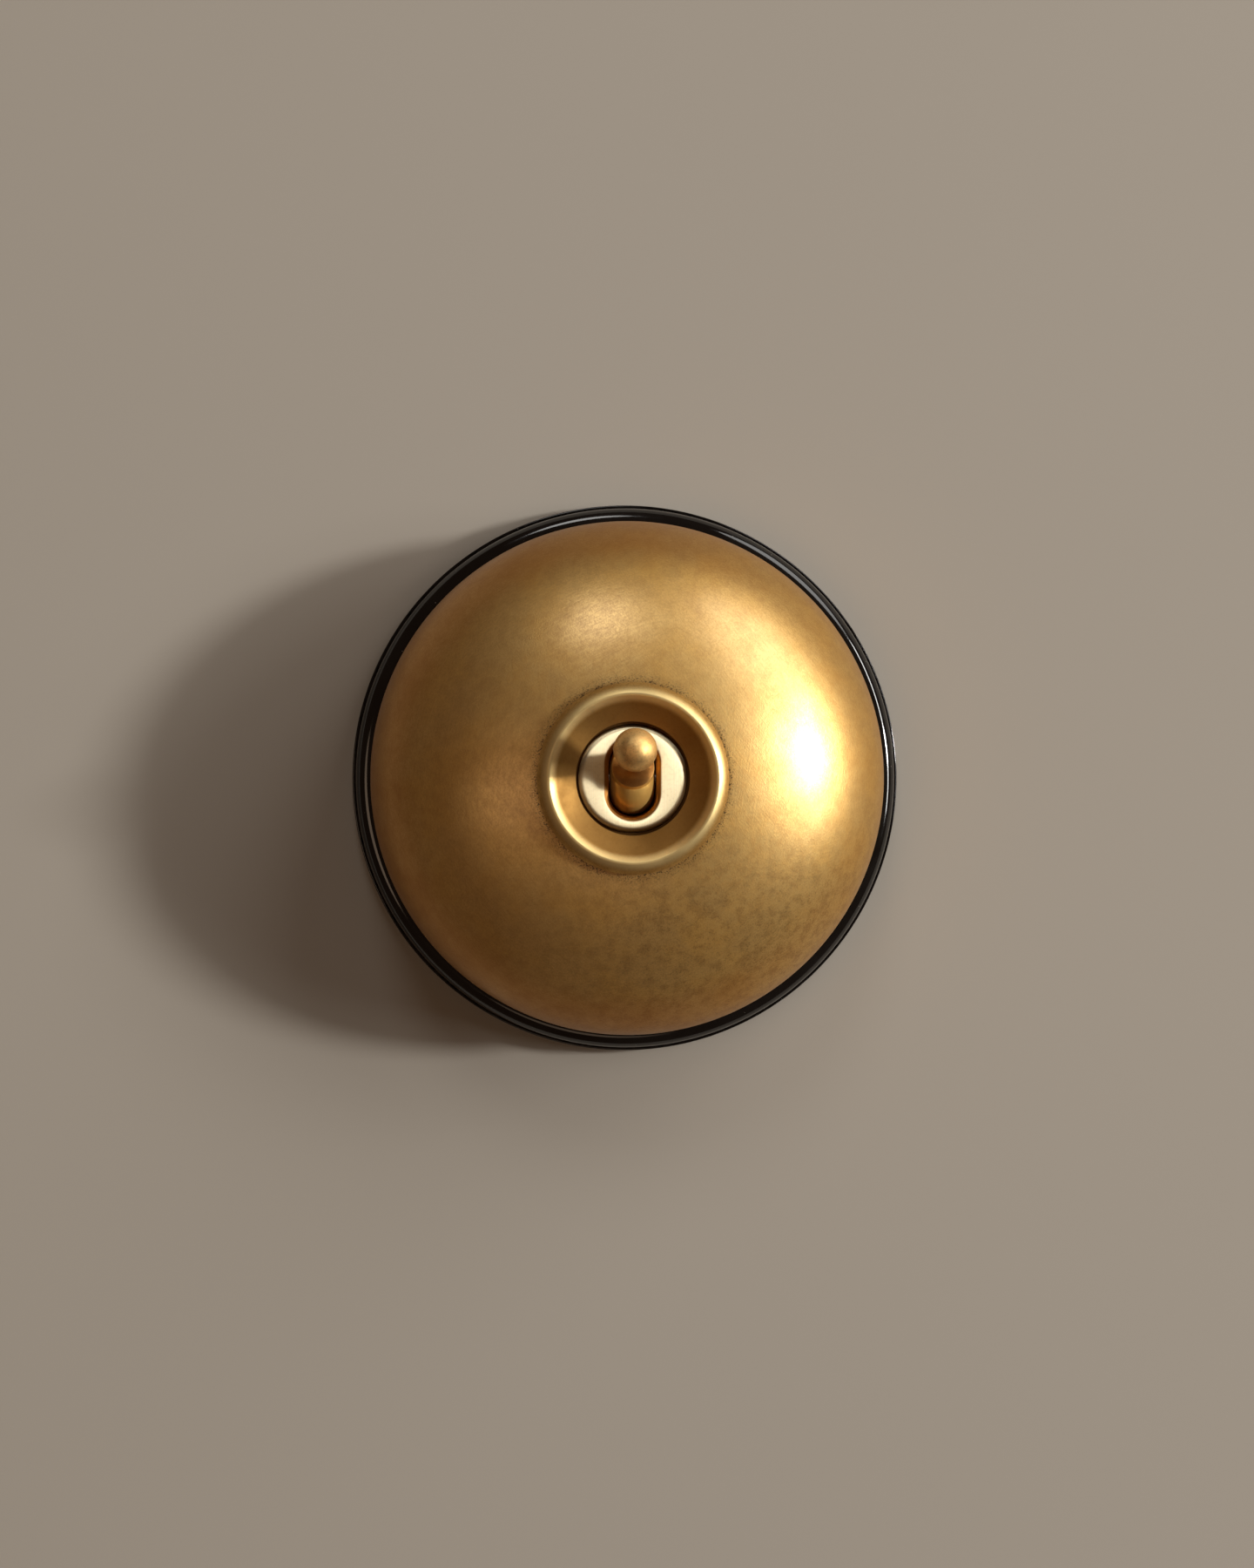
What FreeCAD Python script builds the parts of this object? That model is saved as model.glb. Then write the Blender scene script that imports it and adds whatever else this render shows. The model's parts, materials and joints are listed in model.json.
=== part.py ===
import FreeCAD, Part
import math
import os

from FreeCAD import Vector

# A round surface light switch: a moulded base, a domed brass cover held by a dished brass collar,
# and a brass dolly that tips a sprung rocker between two contacts.
# Millimetres and degrees. The wall is the plane Y = 0, the switch stands out from it towards -Y,
# X is to the right and Z is up. "out" is a distance from the wall, "up" a height above the axis.

# Domed cover
cover_radius = 40.0
cover_rise = 23.0
cover_skirt = 5.7
cover_wall = 1.0
cover_rim_round = 0.3
cover_spigot_clearance = 0.2

# Moulded base
base_height = 6.5
ledge_width = 0.3
shoulder_round = 2.1
foot_step = 0.6
foot_height = 2.6
foot_round = 0.2
base_rim_width = 5.5
back_recess = 2.5
base_floor = 2.5
spigot_height = 3.0
spigot_wall = 1.6
base_rib_width = 1.6

# Wall fixing, two countersunk positions on the level centre line
fixing_spacing = 60.3
fixing_hole_radius = 2.1
fixing_head_radius = 4.2
fixing_head_depth = 1.0
fixing_boss_wall = 3.0

# Cable entries above and below the switch body
entry_width = 17.0
entry_height = 10.0
entry_corner = 3.0
entry_gap = 3.0
entry_lip_width = 1.4
entry_lip_height = 1.5

# Dished collar
collar_rise = 2.05
bead_width = 1.7
bead_flat_angle = 28.0
bead_steep_angle = 55.0
crest_round = 0.5
dish_width = 4.2
dish_steep_angle = 35.0
dish_flat_angle = 22.0
mouth_gap = 0.4
mouth_depth = 0.9
collar_skirt_wall = 2.2
collar_skirt_length = 6.4
collar_hole_clearance = 0.3
thread_clearance = 0.05

# Threaded neck
neck_radius = 8.2
neck_height = 10.6
neck_face_drop = 2.6
neck_edge_round = 0.9
neck_flange_width = 1.6
neck_flange_thickness = 1.5
neck_spigot_step = 0.4
seat_clearance = 0.05
slot_lip_round = 0.95

# Dolly
dolly_throw = 18.0
dolly_pivot_depth = 4.0
dolly_reach = 13.9
dolly_tip_radius = 3.28
dolly_waist_radius = 1.7
dolly_flare_length = 3.4
dolly_foot_radius = 3.2
dolly_foot_rise = 0.1
dolly_root_radius = 5.5
dolly_root_width = 6.8
dolly_tail_radius = 2.6
dolly_tail_length = 10.6
dolly_side_clearance = 0.2
dolly_end_clearance = 0.25
dolly_swing_clearance = 0.35
dolly_pin_radius = 1.0
dolly_pin_recess = 0.4
running_clearance = 0.05
press_clearance = 0.02

# Plunger and its spring, in the dolly's tail
plunger_radius = 1.7
plunger_guide = 3.6
plunger_bore_depth = 7.6
plunger_clearance = 0.06
spring_wire_radius = 0.22
spring_turns = 5.0
spring_runs_per_turn = 12
spring_wire_sides = 8
spring_side_clearance = 0.12

# Rocker with its pin and contact buttons
rocker_drop = 17.0
rocker_throw = 8.0
rocker_thickness = 0.8
rocker_width = 5.2
rocker_ear_radius = 2.2
rocker_ear_gap = 0.4
rocker_pin_radius = 0.95
rocker_pin_gap = 0.15
rocker_pin_overhang = 0.6
rocker_nose_clearance = 0.2
rocker_shoulder_margin = 0.7
contact_reach = 8.6
contact_radius = 1.5
contact_edge = 0.3
moving_contact_height = 0.7
fixed_contact_height = 0.8
contact_gap = 0.1

# Terminals
bracket_thickness = 1.0
bracket_gap = 0.3
strip_thickness = 1.0
strip_width = 5.0
terminal_width = 7.0
terminal_length = 5.0
terminal_recess = 0.5
terminal_top_drop = 2.0
terminal_fit = 0.15
wire_hole_radius = 1.6
wire_hole_drop = 3.6
wire_hole_end_wall = 0.8
terminal_screw_radius = 1.25
terminal_screw_head_radius = 2.3
terminal_screw_head_height = 1.5

# Switch body, insulating sheet and bridge
body_length = 36.0
body_corner = 2.5
chamber_side_gap = 2.6
chamber_end_gap = 1.6
insulator_thickness = 1.0
bridge_thickness = 1.5
bridge_edge = 1.0
bridge_corner = 2.0
bridge_neck_land = 1.4
notch_gap = 0.9
post_inset = 5.0

# Assembly screws, two from the front and two from the back
screw_radius = 1.45
screw_head_radius = 2.7
screw_head_height = 1.7
screw_grip = 6.0
screw_hole_clearance = 0.15
screw_slot_width = 0.7
screw_slot_share = 0.45

# Earth terminal on the bridge
earth_size = 6.0
earth_height = 5.0

# Points nearer than this are one point, and a bent wire's corners are mitred
same_place = 1e-6
mitred = 1

# Places worked out from the sizes
throw = math.radians(dolly_throw)
tilt = math.radians(rocker_throw)

tier_radius = cover_radius + ledge_width + shoulder_round
base_radius = tier_radius + foot_step
recess_radius = base_radius - base_rim_width
floor_top = back_recess + base_floor
spigot_radius = cover_radius - cover_wall - cover_spigot_clearance
spigot_inner = spigot_radius - spigot_wall
spigot_top = base_height + spigot_height

mouth_radius = neck_radius + mouth_gap
crest_radius = mouth_radius + dish_width
collar_radius = crest_radius + bead_width
thread_bore = neck_radius + thread_clearance
collar_skirt_radius = thread_bore + collar_skirt_wall
cover_hole_radius = collar_skirt_radius + collar_hole_clearance

skirt_top = base_height + cover_skirt
seat_out = skirt_top + cover_rise * math.sqrt(1 - (collar_radius / cover_radius) ** 2)
crest_out = seat_out + collar_rise
neck_face = crest_out - neck_face_drop
pivot_out = neck_face - dolly_pivot_depth
bridge_top = neck_face - neck_height
insulator_top = bridge_top - bridge_thickness
body_top = insulator_top - insulator_thickness
neck_flange_radius = neck_radius + neck_flange_width
neck_spigot_radius = neck_radius + neck_spigot_step

tail_sweep = (pivot_out - insulator_top) * math.tan(throw) + dolly_tail_radius / math.cos(throw)
slot_half_width = dolly_root_width / 2 + dolly_side_clearance
slot_half_length = max(tail_sweep + dolly_swing_clearance, dolly_root_radius + dolly_end_clearance)
well_sweep = (pivot_out - body_top) * math.tan(throw) + dolly_tail_radius / math.cos(throw)
hole_half_length = well_sweep + dolly_swing_clearance

rocker_out = pivot_out - rocker_drop
well_floor = rocker_out - rocker_ear_radius - rocker_ear_gap - bracket_thickness
valley = rocker_pin_radius + rocker_pin_gap + rocker_thickness
nose_room = plunger_radius + rocker_nose_clearance

# The plunger's nose runs in the rocker's trough. As the rocker sees it, the nose's centre moves on an
# arc from its middle place to its end places, so the trough is the same arc with room for the nose.
nose_reach = rocker_drop - valley - nose_room
nose_drop = rocker_drop - nose_reach * math.cos(throw)
nose_side = nose_reach * math.sin(throw) * math.cos(tilt) - nose_drop * math.sin(tilt)
nose_rise = nose_reach * math.sin(throw) * math.sin(tilt) + nose_drop * math.cos(tilt)
nose_lift = nose_rise - (rocker_drop - nose_reach)
nose_arc = (nose_side ** 2 + nose_lift ** 2) / (2 * nose_lift)
trough_radius = nose_arc + nose_room
trough_centre = valley + trough_radius

shoulder_reach = nose_side * trough_radius / nose_arc + rocker_shoulder_margin
shoulder_rise = trough_centre - math.sqrt(trough_radius ** 2 - shoulder_reach ** 2)
arm_reach = contact_reach + contact_radius + contact_edge
arm_rise = shoulder_rise + (arm_reach - shoulder_reach) * math.tan(tilt)
arm_foot = arm_rise - rocker_thickness / math.cos(tilt)

closed_arm = rocker_out - arm_reach * math.sin(tilt) + arm_foot * math.cos(tilt)
fixed_contact_top = closed_arm - moving_contact_height - contact_gap
strip_top = fixed_contact_top - fixed_contact_height
strip_foot = strip_top - strip_thickness

bracket_inner = rocker_width / 2 + bracket_gap
bracket_outer = bracket_inner + bracket_thickness
chamber_half_width = bracket_outer + chamber_side_gap
chamber_half_length = arm_reach + chamber_end_gap
notch_inner = neck_spigot_radius + seat_clearance + bridge_neck_land
common_inner = notch_inner + notch_gap
common_outer = common_inner + terminal_length
common_middle = common_inner + terminal_length / 2
body_half_width = common_outer + terminal_recess
body_half_length = body_length / 2
terminal_top = body_top - terminal_top_drop
terminal_outer = body_half_length - terminal_recess
terminal_inner = terminal_outer - terminal_length
terminal_middle = terminal_outer - terminal_length / 2
channel_half_width = terminal_width / 2 + terminal_fit
wire_hole_out = terminal_top - wire_hole_drop

post_x = (chamber_half_width + body_half_width) / 2
post_up = body_half_length - post_inset
bridge_half_width = post_x + screw_head_radius + bridge_edge
bridge_half_length = post_up + screw_head_radius + bridge_edge
entry_up = body_half_length + entry_gap + entry_height / 2
screw_hole_radius = screw_radius + screw_hole_clearance

front_posts = [(post_x, post_up), (-post_x, -post_up)]
back_posts = [(post_x, -post_up), (-post_x, post_up)]
earth_place = (-post_x, post_up)
earth_top = bridge_top + earth_height


def turning(radius, out):
    """Place in the half plane that a turned outline lies in."""
    return Vector(radius, -out, 0)


def from_side(up, out):
    """Place in the upright plane through the axis."""
    return Vector(0, -out, up)


def from_front(x, up):
    """Place on the wall plane, as seen from the room."""
    return Vector(x, 0, up)


def loop(place, *steps):
    """Face inside a closed outline. A step is a corner, or an arc as (point on the way, end)."""
    edges = []
    here = steps[0]
    for step in steps[1:] + steps[:1]:
        if isinstance(step[0], tuple):
            way, end = step
            edges.append(Part.Arc(place(*here), place(*way), place(*end)).toShape())
        else:
            end = step
            if math.dist(here, end) > same_place:
                edges.append(Part.LineSegment(place(*here), place(*end)).toShape())
        here = end
    return Part.Face(Part.Wire(edges))


def around(centre, radius, angle):
    """Point at a radius from a centre, in the direction of an angle in degrees."""
    turn = math.radians(angle)
    return (centre[0] + radius * math.cos(turn), centre[1] + radius * math.sin(turn))


def bend(centre, radius, start_angle, end_angle):
    """Arc step about a centre: the point half way and the end. The angles are in degrees."""
    middle_angle = (start_angle + end_angle) / 2
    return around(centre, radius, middle_angle), around(centre, radius, end_angle)


def turned(*steps):
    """Solid of revolution about the switch's axis, from an outline of (radius, out) steps."""
    return loop(turning, *steps).revolve(Vector(0, 0, 0), Vector(0, 1, 0), 360)


def slab(x_from, x_to, *steps):
    """Sheet of even thickness, upright along the axis, from an outline of (up, out) steps."""
    sheet = loop(from_side, *steps).extrude(Vector(x_to - x_from, 0, 0))
    return moved(sheet, x=x_from)


def block(x_from, x_to, out_from, out_to, up_from, up_to):
    """Square-cornered solid."""
    return Part.makeBox(x_to - x_from, out_to - out_from, up_to - up_from, Vector(x_from, -out_to, up_from))


def rounded_block(half_width, half_length, corner, out_from, out_to, x=0.0, up=0.0):
    """Solid with its four outward edges rounded, centred on a place."""
    solid = block(x - half_width, x + half_width, out_from, out_to, up - half_length, up + half_length)
    edges = [edge for edge in solid.Edges if abs(edge.tangentAt(edge.FirstParameter).y) > 0.5]
    return solid.makeFillet(corner, edges)


def obround(half_width, half_length, out_from, out_to):
    """Upright slot shape with round ends, on the axis."""
    straight = half_length - half_width
    face = loop(
        from_front,
        (half_width, -straight),
        (half_width, straight),
        ((0, half_length), (-half_width, straight)),
        (-half_width, -straight),
        ((0, -half_length), (half_width, -straight)),
    )
    return moved(face.extrude(Vector(0, out_from - out_to, 0)), out=out_from)


def rod(radius, out_from, out_to, x=0.0, up=0.0):
    """Round bar standing out from the wall."""
    return Part.makeCylinder(radius, out_to - out_from, Vector(x, -out_from, up), Vector(0, -1, 0))


def cross_rod(radius, half_length, out, up=0.0):
    """Round bar from side to side, centred on the axis."""
    return Part.makeCylinder(radius, 2 * half_length, Vector(-half_length, -out, up), Vector(1, 0, 0))


def moved(shape, x=0.0, out=0.0, up=0.0):
    """Copy of a shape, shifted."""
    copy = shape.copy()
    copy.translate(Vector(x, -out, up))
    return copy


def tipped(shape, angle):
    """Copy of a shape turned about the side-to-side line through the origin, upper side outwards."""
    copy = shape.copy()
    copy.rotate(Vector(0, 0, 0), Vector(1, 0, 0), angle)
    return copy


def half_turn(shape):
    """Copy of a shape turned half round on the switch's axis."""
    copy = shape.copy()
    copy.rotate(Vector(0, 0, 0), Vector(0, 1, 0), 180)
    return copy


def faced_back(shape):
    """Copy of a shape turned to face the wall."""
    copy = shape.copy()
    copy.rotate(Vector(0, 0, 0), Vector(0, 0, 1), 180)
    return copy


def slotted_screw(head_radius, head_height, shank_radius, shank_length):
    """Screw with a straight slot. Its head seats on the plane of the origin and faces the room."""
    screw = turned(
        (0, -shank_length),
        (shank_radius, -shank_length),
        (shank_radius, 0),
        (head_radius, 0),
        (head_radius, head_height),
        (0, head_height),
    )
    slot_foot = head_height * (1 - screw_slot_share)
    half_slot = screw_slot_width / 2
    return screw.cut(block(-head_radius, head_radius, slot_foot, head_height, -half_slot, half_slot))


def base():
    """Moulded back plate: a stepped rim, a spigot inside the cover and a floor, hollow at the back."""
    plate = turned(
        (0, back_recess),
        (recess_radius, back_recess),
        (recess_radius, 0),
        (base_radius, 0),
        (base_radius, foot_height - foot_round),
        bend((base_radius - foot_round, foot_height - foot_round), foot_round, 0, 90),
        (tier_radius, foot_height),
        (tier_radius, base_height - shoulder_round),
        bend((tier_radius - shoulder_round, base_height - shoulder_round), shoulder_round, 0, 90),
        (spigot_radius, base_height),
        (spigot_radius, spigot_top),
        (spigot_inner, spigot_top),
        (spigot_inner, floor_top),
        (0, floor_top),
    )
    boss_radius = fixing_hole_radius + fixing_boss_wall
    half_rib = base_rib_width / 2
    rib = block(fixing_spacing / 2, recess_radius + foot_step, 0, back_recess, -half_rib, half_rib)
    holes = []
    for side in (-1, 1):
        place = side * fixing_spacing / 2
        plate = plate.fuse(rod(boss_radius, 0, back_recess, x=place))
        plate = plate.fuse(rib if side > 0 else half_turn(rib))
        plate = plate.fuse(entry(side, entry_lip_width, back_recess - entry_lip_height, back_recess))
        holes.append(rod(fixing_hole_radius, 0, floor_top, x=place))
        holes.append(rod(fixing_head_radius, floor_top - fixing_head_depth, floor_top, x=place))
        holes.append(entry(side, 0, 0, floor_top))
    for x, up in back_posts:
        holes.append(rod(screw_hole_radius, 0, floor_top, x, up))
    return plate.cut(holes).removeSplitter()


def entry(side, margin, out_from, out_to):
    """Shape of a cable entry, above or below the switch body, with a margin all round."""
    half_width = entry_width / 2 + margin
    half_height = entry_height / 2 + margin
    return rounded_block(half_width, half_height, entry_corner + margin, out_from, out_to, up=side * entry_up)


def dome_arc(radius, rise, out_to):
    """Quarter of the dome's oval, from its skirt up to a given height, and the radius it ends at."""
    lift = math.asin((out_to - skirt_top) / rise)
    oval = Part.Ellipse(turning(0, skirt_top), radius, rise)
    return Part.ArcOfEllipse(oval, -lift, 0).toShape(), radius * math.cos(lift)


def cover():
    """Spun brass dome: a straight skirt, an oval crown and a flat land that the collar clamps."""
    inner_radius = cover_radius - cover_wall
    inner_seat = seat_out - cover_wall
    outer_arc, outer_land = dome_arc(cover_radius, cover_rise, seat_out)
    inner_arc, inner_land = dome_arc(inner_radius, cover_rise - cover_wall, inner_seat)
    rim_centre = (cover_radius - cover_rim_round, base_height + cover_rim_round)
    rim_start = (cover_radius, rim_centre[1])
    rim_way, rim_end = bend(rim_centre, cover_rim_round, 0, -90)
    corners = [
        [(cover_radius, skirt_top), rim_start],
        [rim_end, (inner_radius, base_height)],
        [(inner_radius, base_height), (inner_radius, skirt_top)],
        [(inner_land, inner_seat), (cover_hole_radius, inner_seat)],
        [(cover_hole_radius, inner_seat), (cover_hole_radius, seat_out)],
        [(cover_hole_radius, seat_out), (outer_land, seat_out)],
    ]
    edges = [Part.LineSegment(turning(*start), turning(*end)).toShape() for start, end in corners]
    edges += [outer_arc, inner_arc]
    edges.append(Part.Arc(turning(*rim_start), turning(*rim_way), turning(*rim_end)).toShape())
    section = Part.Face(Part.Wire(Part.__sortEdges__(edges)))
    return section.revolve(Vector(0, 0, 0), Vector(0, 1, 0), 360)


def collar():
    """Turned ring nut: a sloped bead outside, a dish inside it and a threaded skirt on the neck."""
    bead_sines = math.sin(math.radians(bead_steep_angle)) - math.sin(math.radians(bead_flat_angle))
    dish_sines = math.sin(math.radians(dish_steep_angle)) - math.sin(math.radians(dish_flat_angle))
    crest_centre = (crest_radius, crest_out - crest_round)
    bead_top = around(crest_centre, crest_round, 90 - bead_flat_angle)
    bead_radius = (collar_radius - bead_top[0]) / bead_sines
    bead_centre = around(bead_top, bead_radius, 270 - bead_flat_angle)
    bead_foot = around(bead_centre, bead_radius, 90 - bead_steep_angle)
    crest = bend(crest_centre, crest_round, 90 - bead_flat_angle, 90 + dish_steep_angle)
    dish_radius = (crest[1][0] - mouth_radius) / dish_sines
    dish_centre = around(crest[1], dish_radius, 90 + dish_steep_angle)
    skirt_foot = seat_out - collar_skirt_length
    shoulder_out = neck_face - mouth_depth
    return turned(
        (collar_skirt_radius, seat_out),
        (collar_radius, seat_out),
        bead_foot,
        bend(bead_centre, bead_radius, 90 - bead_steep_angle, 90 - bead_flat_angle),
        crest,
        bend(dish_centre, dish_radius, dish_steep_angle - 90, dish_flat_angle - 90),
        (mouth_radius, shoulder_out),
        (thread_bore, shoulder_out),
        (thread_bore, skirt_foot),
        (collar_skirt_radius, skirt_foot),
    )


def neck():
    """Brass neck: a spigot and flange on the bridge, a barrel, and a slot with a rounded lip."""
    flange_top = bridge_top + neck_flange_thickness
    barrel = turned(
        (0, insulator_top),
        (neck_spigot_radius, insulator_top),
        (neck_spigot_radius, bridge_top),
        (neck_flange_radius, bridge_top),
        (neck_flange_radius, flange_top),
        (neck_radius, flange_top),
        (neck_radius, neck_face - neck_edge_round),
        bend((neck_radius - neck_edge_round, neck_face - neck_edge_round), neck_edge_round, 0, 90),
        (0, neck_face),
    )
    barrel = barrel.cut(obround(slot_half_width, slot_half_length, insulator_top, neck_face))
    slot_reach = slot_half_length + press_clearance
    lip = [edge for edge in barrel.Edges if on_slot_lip(edge, slot_reach)]
    barrel = barrel.makeFillet(slot_lip_round, lip)
    return barrel.cut(cross_rod(dolly_pin_radius + press_clearance, neck_radius, pivot_out))


def on_slot_lip(edge, reach):
    """Whether an edge lies on the neck's face, round the slot."""
    box = edge.BoundBox
    on_face = abs(box.YMin + neck_face) < press_clearance and box.YLength < press_clearance
    return on_face and max(abs(box.ZMin), abs(box.ZMax)) < reach


def bridge_outline(out_from, out_to):
    """Plate over the switch body, notched where the terminals' screws are reached."""
    plate = rounded_block(bridge_half_width, bridge_half_length, bridge_corner, out_from, out_to)
    notch_half = terminal_width / 2 + notch_gap
    end_inner = terminal_inner - notch_gap
    end_notch = block(-notch_half, notch_half, out_from, out_to, end_inner, bridge_half_length)
    side_notch = block(notch_inner, bridge_half_width, out_from, out_to, -notch_half, notch_half)
    holes = [rod(screw_hole_radius, out_from, out_to, x, up) for x, up in front_posts]
    return plate.cut([end_notch, half_turn(end_notch), side_notch] + holes)


def bridge():
    """Brass plate that carries the neck on the switch body."""
    plate = bridge_outline(insulator_top, bridge_top)
    return plate.cut(rod(neck_spigot_radius + seat_clearance, insulator_top, bridge_top))


def insulator():
    """Fibre sheet between the bridge and the live parts, with an opening for the dolly's tail."""
    sheet = bridge_outline(body_top, insulator_top)
    return sheet.cut(obround(slot_half_width, hole_half_length, body_top, insulator_top))


def switch_body():
    """Moulded block on the base, with a contact chamber, three terminal channels and screw holes."""
    body = rounded_block(body_half_width, body_half_length, body_corner, floor_top, body_top)
    well_half_length = rocker_ear_radius + bracket_thickness
    chamber = block(-chamber_half_width, chamber_half_width, strip_foot, body_top,
                    -chamber_half_length, chamber_half_length)
    well = block(-chamber_half_width, chamber_half_width, well_floor, body_top,
                 -well_half_length - terminal_fit, well_half_length + terminal_fit)
    end_channel = block(-channel_half_width, channel_half_width, strip_foot, body_top, 0, body_half_length)
    side_channel = block(0, body_half_width, well_floor, body_top, -channel_half_width, channel_half_width)
    cuts = [chamber, well, end_channel, half_turn(end_channel), side_channel]
    pilot = screw_radius + press_clearance
    cuts += [rod(pilot, body_top - screw_grip, body_top, x, up) for x, up in front_posts]
    cuts += [rod(pilot, floor_top, floor_top + screw_grip, x, up) for x, up in back_posts]
    return body.cut(cuts)


def clamp_block(foot):
    """Brass wire clamp at the body's upper end: a block with a wire hole and a screw hole across it."""
    half_width = terminal_width / 2
    clamp = block(-half_width, half_width, foot, terminal_top, terminal_inner, terminal_outer)
    wire_end = terminal_inner + wire_hole_end_wall
    wire = Part.makeCylinder(wire_hole_radius, terminal_outer - wire_end,
                             Vector(0, -wire_hole_out, wire_end), Vector(0, 0, 1))
    screw = rod(terminal_screw_radius + press_clearance, wire_hole_out, terminal_top, up=terminal_middle)
    return clamp.cut([wire, screw])


def upper_terminal():
    """Contact strip in the chamber with its wire clamp."""
    half_strip = strip_width / 2
    strip_end = contact_reach - contact_radius - contact_edge
    strip = block(-half_strip, half_strip, strip_foot, strip_top, strip_end, terminal_inner)
    return strip.fuse(clamp_block(strip_foot)).removeSplitter()


def common_terminal():
    """Bracket whose two ears carry the rocker's pin, with its wire clamp at the body's side."""
    strip_up = well_floor + bracket_thickness
    ear_half = rocker_ear_radius
    foot_strip = block(-bracket_outer, common_inner, well_floor, strip_up, -ear_half, ear_half)
    bracket = foot_strip
    for x_from in (-bracket_outer, bracket_inner):
        ear = slab(
            x_from,
            x_from + bracket_thickness,
            (-ear_half, well_floor),
            (ear_half, well_floor),
            (ear_half, rocker_out),
            bend((0, rocker_out), ear_half, 0, 180),
        )
        bracket = bracket.fuse(ear)
    clamp = clamp_block(well_floor)
    clamp.rotate(Vector(0, 0, 0), Vector(0, 1, 0), 90)
    bracket = bracket.fuse(moved(clamp, x=common_outer - terminal_outer)).removeSplitter()
    return bracket.cut(cross_rod(rocker_pin_radius + press_clearance, bracket_outer, rocker_out))


def rocker_shape():
    """Folded contact strip about its own pin line: a trough, two shoulders, two arms and two ears."""
    half_width = rocker_width / 2
    under_radius = trough_radius + rocker_thickness
    slope = math.tan(tilt)
    drop = arm_foot - slope * arm_reach - trough_centre
    under = math.sqrt((slope * drop) ** 2 - (1 + slope ** 2) * (drop ** 2 - under_radius ** 2))
    under_reach = (under - slope * drop) / (1 + slope ** 2)
    under_rise = trough_centre - math.sqrt(under_radius ** 2 - under_reach ** 2)
    strip = slab(
        -half_width,
        half_width,
        (-arm_reach, arm_rise),
        (-shoulder_reach, shoulder_rise),
        ((0, valley), (shoulder_reach, shoulder_rise)),
        (arm_reach, arm_rise),
        (arm_reach, arm_foot),
        (under_reach, under_rise),
        ((0, valley - rocker_thickness), (-under_reach, under_rise)),
        (-arm_reach, arm_foot),
    )
    middle_radius = trough_radius + rocker_thickness / 2
    middle = valley - rocker_thickness / 2
    corner = trough_centre - math.sqrt(middle_radius ** 2 - rocker_ear_radius ** 2)
    for x_from in (-half_width, half_width - rocker_thickness):
        ear = slab(
            x_from,
            x_from + rocker_thickness,
            (rocker_ear_radius, corner),
            ((0, middle), (-rocker_ear_radius, corner)),
            (-rocker_ear_radius, 0),
            bend((0, 0), rocker_ear_radius, 180, 360),
        )
        strip = strip.fuse(ear)
    strip = strip.removeSplitter()
    return strip.cut(cross_rod(rocker_pin_radius + running_clearance, half_width, 0))


def rocker_button():
    """Contact button under the rocker's upper arm, square to the arm, about the rocker's own pin line."""
    foot = closed_arm - rocker_out - moving_contact_height
    flat_button = rod(contact_radius, foot, foot + moving_contact_height, up=-contact_reach)
    return half_turn(tipped(flat_button, -rocker_throw))


def dolly_root():
    """Wheel about the dolly's own pin line, with a full round rim that fills the slot at any lean."""
    rim = dolly_root_width / 2
    hub = dolly_root_radius - rim
    section = loop(turning, (-rim, 0), (rim, 0), (rim, hub), bend((0, hub), rim, 0, 180))
    return section.revolve(Vector(0, 0, 0), Vector(1, 0, 0), 360)


def dolly_shape():
    """Turned lever about its own pin line: a ball that tapers to a waist, a flared foot, a root and a tail."""
    foot_reach = dolly_root_radius + dolly_foot_rise
    waist_reach = foot_reach + dolly_flare_length
    flare_step = dolly_foot_radius - dolly_waist_radius
    flare_radius = (flare_step**2 + dolly_flare_length**2) / (2 * flare_step)
    flare_angle = math.degrees(math.asin(dolly_flare_length / flare_radius))
    taper_length = dolly_reach - waist_reach
    taper_reach = math.hypot(dolly_waist_radius, taper_length)
    taper_turn = math.acos(dolly_tip_radius / taper_reach) - math.atan2(taper_length, dolly_waist_radius)
    taper_angle = math.degrees(taper_turn)
    lever = turned(
        (0, -dolly_tail_length),
        (dolly_tail_radius, -dolly_tail_length),
        (dolly_tail_radius, 0),
        (dolly_foot_radius, 0),
        (dolly_foot_radius, foot_reach),
        bend((dolly_waist_radius + flare_radius, waist_reach), flare_radius, 180 + flare_angle, 180),
        around((0, dolly_reach), dolly_tip_radius, taper_angle),
        bend((0, dolly_reach), dolly_tip_radius, taper_angle, 90),
    )
    lever = lever.fuse(dolly_root()).removeSplitter()
    bore = rod(plunger_radius + plunger_clearance, -dolly_tail_length, plunger_bore_depth - dolly_tail_length)
    pin_hole = cross_rod(dolly_pin_radius + running_clearance, dolly_root_radius, 0)
    return lever.cut([bore, pin_hole])


def plunger_shape():
    """Round-nosed plunger in the dolly's tail, about the dolly's own pin line."""
    return turned(
        (0, plunger_guide - dolly_tail_length),
        (plunger_radius, plunger_guide - dolly_tail_length),
        (plunger_radius, -nose_reach),
        bend((0, -nose_reach), plunger_radius, 0, -90),
    )


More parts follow.
